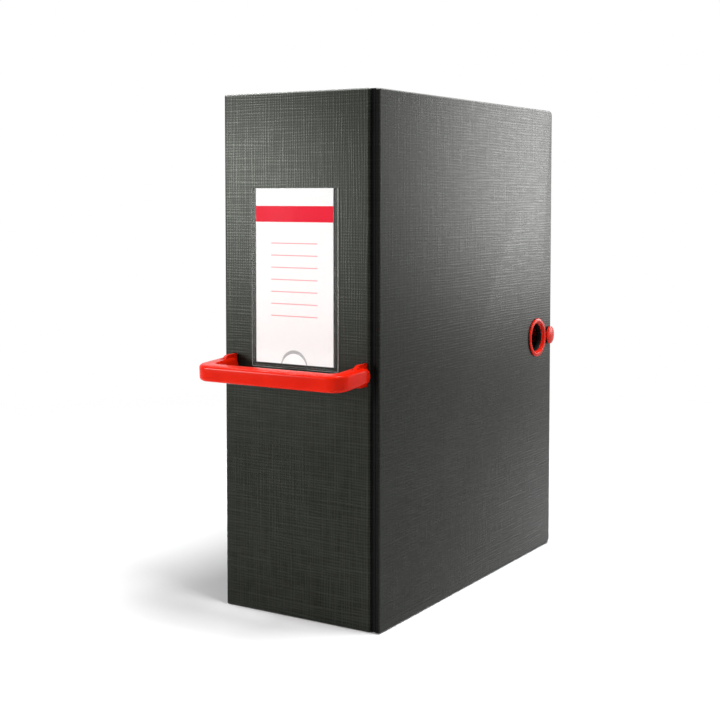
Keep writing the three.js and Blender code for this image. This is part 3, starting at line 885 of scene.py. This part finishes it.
# The deep part of the sleeve gets the painted shade.
face_material(ring, lambda middle, normal: middle.x < lid_face + SLEEVE_DARK
              and math.hypot(middle.y - ring_centre.y, middle.z - ring_centre.z) < DARK_WITHIN, bore_painted_shade)

# %% Washer behind the lid
WASHER_HOLE, WASHER_RADIUS, WASHER_ROUND = 12.0, 14.8, 0.6
backing_low, backing_high = corners("finger_ring_backing")
washer_front, washer_back = backing_high.x - lid_face, backing_low.x - lid_face
rim = WASHER_RADIUS - WASHER_ROUND

washer = turned("eyelet_washer", [
    (WASHER_HOLE, washer_front), (WASHER_HOLE, washer_back), (rim, washer_back),
    *arc((rim, washer_back + WASHER_ROUND), WASHER_ROUND, -90, 0, 5),
    (WASHER_RADIUS, washer_front), (WASHER_HOLE, washer_front)], at_ring, 128)
finish_piece(washer, "lid", "red_plastic", red_plastic, "finger_ring_backing")

# %% Button of the snap
SHANK_RADIUS = 2.2
at_snap = (lid_face, cap_centre.y, cap_centre.z)
shank_end = cap_low.x - lid_face

button = turned("snap_button", [
    (0, shank_end), (2.0, shank_end), (SHANK_RADIUS, shank_end + 0.2), (SHANK_RADIUS, FIT), (4.7, FIT),
    (4.7, 0.6), (6.7, 0.6), *arc((6.55, 1.2), 0.62, -75, 60, 8),
    (5.2, 2.02), (3.5, 2.2), (1.8, 2.33), (0, 2.38)], at_snap)
finish_piece(button, "lid", "red_plastic", red_plastic, "snap_cap")

# %% Ball stud of the snap
BALL_RADIUS, NECK_RADIUS, STUD_RADIUS, WELL_RADIUS = 1.9, 1.5, 4.0, 2.5
stud_low, stud_high = corners("snap_stud")
stud_front, stud_tip = stud_high.x - lid_face, stud_low.x - lid_face

stud = turned("snap_ball_stud", [
    *arc((0, stud_tip + BALL_RADIUS), BALL_RADIUS, -90, 38, 10), (NECK_RADIUS, stud_front - 1.5),
    (3.8, stud_front - 1.5), (STUD_RADIUS, stud_front - 1.3), (STUD_RADIUS, stud_front - 0.15),
    (3.85, stud_front), (WELL_RADIUS, stud_front), (WELL_RADIUS, stud_front - 1.0),
    (0, stud_front - 1.0)], at_snap, 64)
finish_piece(stud, "lid", "red_plastic", red_plastic, "snap_stud")

# %% Clip of the snap
CLIP_CORNER, CLIP_EDGE_ROUND, CLIP_BORE = 0.8, 0.15, 2.2
WEB_HALF, WEB_REACH = 5, 8

clip = block("snap_clip", socket_low, socket_high)
round_edges(clip, lambda a, b: abs(a.x - b.x) > 1, CLIP_CORNER, 4)
for sign in (-1, 1):
    inner, beyond = sorted((cap_centre.z + sign * WEB_HALF, cap_centre.z + sign * WEB_REACH))
    cut(clip, block("groove", (socket_low.x - 1, tray_high.y - TRAY_WALL - FIT, inner),
                    (socket_high.x + 1, tray_high.y + FIT, beyond)))
cut(clip, rod("bore", CLIP_BORE, (socket_low.x - 1, cap_centre.y, cap_centre.z),
              (socket_high.x + 1, cap_centre.y, cap_centre.z)))
soften(clip, CLIP_EDGE_ROUND, 2, 50)
finish_piece(clip, "root", "red_plastic", red_plastic, "snap_socket")

# %% [markdown]
# ## Floor and surroundings
#
# The floor is a pale matt sheet that takes the soft shadow near the box. Farther away it fades into a sheet
# that glows white, so that no horizon is seen. The world is white to the eye and in mirrors, but gives only
# a faint light of its own, and so the lamps alone decide how dark the black paper looks.


# %% Floor
FLOOR_SIZE, FLOOR_DROP = 12, 0.0002
FLOOR_TONE, FLOOR_LIFT = 0.78, 0.05
FLOOR_CLEAR, FLOOR_FADE = 0.45, 0.5


def looked_at(tree):
    """One for the rays of the eye, of mirrors and of clear film, and nought for the rest."""
    path = tree.nodes.new("ShaderNodeLightPath")
    beyond = maths(tree, "MAXIMUM", path.outputs["Is Glossy Ray"], path.outputs["Is Transmission Ray"])
    return maths(tree, "MAXIMUM", path.outputs["Is Camera Ray"], beyond)


bpy.ops.object.select_all(action="DESELECT")
bpy.ops.mesh.primitive_plane_add(size=FLOOR_SIZE, location=(0, 0, -FLOOR_DROP))
floor = bpy.context.object
floor.name = "floor"
floor_paint, tree, shader = material("pale_floor", 0.8, Specular_IOR_Level=0.1)
shader.inputs["Base Color"].default_value = (FLOOR_TONE, FLOOR_TONE, FLOOR_TONE, 1)
place = tree.nodes.new("ShaderNodeTexCoord")
distance = tree.nodes.new("ShaderNodeVectorMath")
distance.operation = "LENGTH"
tree.links.new(place.outputs["Object"], distance.inputs[0])
past_clear = maths(tree, "SUBTRACT", distance.outputs["Value"], FLOOR_CLEAR)
far = maths(tree, "DIVIDE", past_clear, FLOOR_FADE, clamp=True)
seen = looked_at(tree)
paper_white = tree.nodes.new("ShaderNodeEmission")
lift = tree.nodes.new("ShaderNodeEmission")
tree.links.new(maths(tree, "ADD", maths(tree, "MULTIPLY", seen, 0.5), 0.5), paper_white.inputs["Strength"])
tree.links.new(maths(tree, "MULTIPLY", seen, FLOOR_LIFT), lift.inputs["Strength"])
near_floor = tree.nodes.new("ShaderNodeAddShader")
tree.links.new(shader.outputs[0], near_floor.inputs[0])
tree.links.new(lift.outputs[0], near_floor.inputs[1])
mix = tree.nodes.new("ShaderNodeMixShader")
tree.links.new(far, mix.inputs["Fac"])
tree.links.new(near_floor.outputs[0], mix.inputs[1])
tree.links.new(paper_white.outputs[0], mix.inputs[2])
tree.links.new(mix.outputs[0], tree.nodes["Material Output"].inputs["Surface"])
floor.data.materials.append(floor_paint)
print("floor fades from", FLOOR_CLEAR, "to", FLOOR_CLEAR + FLOOR_FADE, "m")

# %% World
GLOW_COLOUR, GLOW_STRENGTH = (0.95, 0.97, 1, 1), 0.16

world = bpy.data.worlds.new("studio")
bpy.context.scene.world = world
world.use_nodes = True
nodes, links = world.node_tree.nodes, world.node_tree.links
seen_white = nodes["Background"]
seen_white.inputs["Color"].default_value = (1, 1, 1, 1)
glow = nodes.new("ShaderNodeBackground")
glow.inputs["Color"].default_value = GLOW_COLOUR
glow.inputs["Strength"].default_value = GLOW_STRENGTH
mix = nodes.new("ShaderNodeMixShader")
links.new(looked_at(world.node_tree), mix.inputs["Fac"])
links.new(glow.outputs[0], mix.inputs[1])
links.new(seen_white.outputs[0], mix.inputs[2])
links.new(mix.outputs[0], nodes["World Output"].inputs["Surface"])
print("world glows at", GLOW_STRENGTH)

# %% [markdown]
# ## Lamps
#
# Two panels at the left front light the spine. Two at the far right mirror in the far part of the lid, which
# makes its grey gradient, and throw the soft shadow towards the left front. One above lights the top, the lid
# and the floor. A small strip above the left draws the shine along the top of the handle. Lamps are told from
# each other most easily in a table, so each is a row with its name, its place, the point that it faces, its
# size in metres and the radiance of its panel.


# %% Lamps
LAMPS = (
    ("left_front_panel", (-1.40, -1.79, 0.60), (-0.03, -0.136, 0.32), (0.38, 0.46), 58),
    ("left_front_low_panel", (-1.40, -1.79, 0.20), (-0.03, -0.136, 0.25), (0.38, 0.32), 18),
    ("right_back_panel", (0.95, 2.02, 0.56), (0.06, 0.13, 0.3), (0.48, 0.68), 13.2),
    ("right_back_low_panel", (0.95, 2.02, 0.13), (0.06, 0.13, 0.2), (0.48, 0.16), 7),
    ("right_top_panel", (0.40, -0.05, 1.75), (0, 0, 0), (0.6, 0.6), 35),
    ("left_top_strip", (-0.95, -0.02, 1.50), (0, -0.14, 0.25), (0.26, 0.13), 62),
)


def softbox(name, place, target, size, radiance):
    """Rectangular lamp that faces a point, with its strength given as the radiance of its panel."""
    lamp = bpy.data.lights.new(name, "AREA")
    lamp.shape = "RECTANGLE"
    lamp.size, lamp.size_y = size
    lamp.energy = radiance * math.pi * size[0] * size[1]
    obj = bpy.data.objects.new(name, lamp)
    obj.location = place
    obj.rotation_euler = (Vector(target) - Vector(place)).to_track_quat("-Z", "Y").to_euler()
    bpy.context.collection.objects.link(obj)
    obj.visible_camera = False
    print(name, round(lamp.energy, 1), "W")


for lamp in LAMPS:
    softbox(*lamp)
